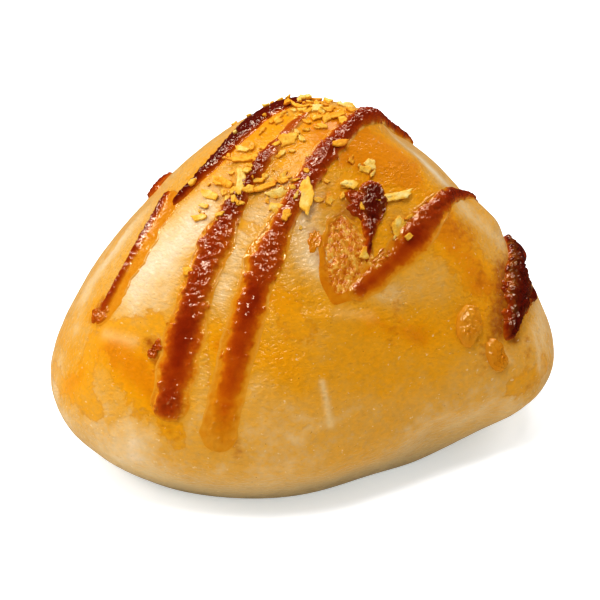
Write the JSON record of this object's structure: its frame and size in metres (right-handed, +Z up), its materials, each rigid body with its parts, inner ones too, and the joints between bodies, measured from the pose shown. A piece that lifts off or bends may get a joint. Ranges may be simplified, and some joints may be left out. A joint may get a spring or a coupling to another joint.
{
  "type": "tuna bun",
  "caption": "Puffed bread bun with blunt corners and a leaning peak, glazed crust, slanting passes of dark sauce drizzle and crisp golden flakes on its crown.",
  "frame": {"origin": "on the flat foot that the bun rests on, under the middle of its waist", "axes": "+Z up; the side shown in the picture faces -Y, with +X to its right"},
  "size_m": [0.1061, 0.0854, 0.0676],
  "materials": {
    "crust": "baked bread crust with a glossy egg glaze, cream to amber",
    "sauce": "glossy baked sauce, dark red-brown, amber where it is thin",
    "flakes": "dry crisp golden flakes"
  },
  "bodies": {
    "root": {"bun": "crust"}
  },
  "joints": []
}
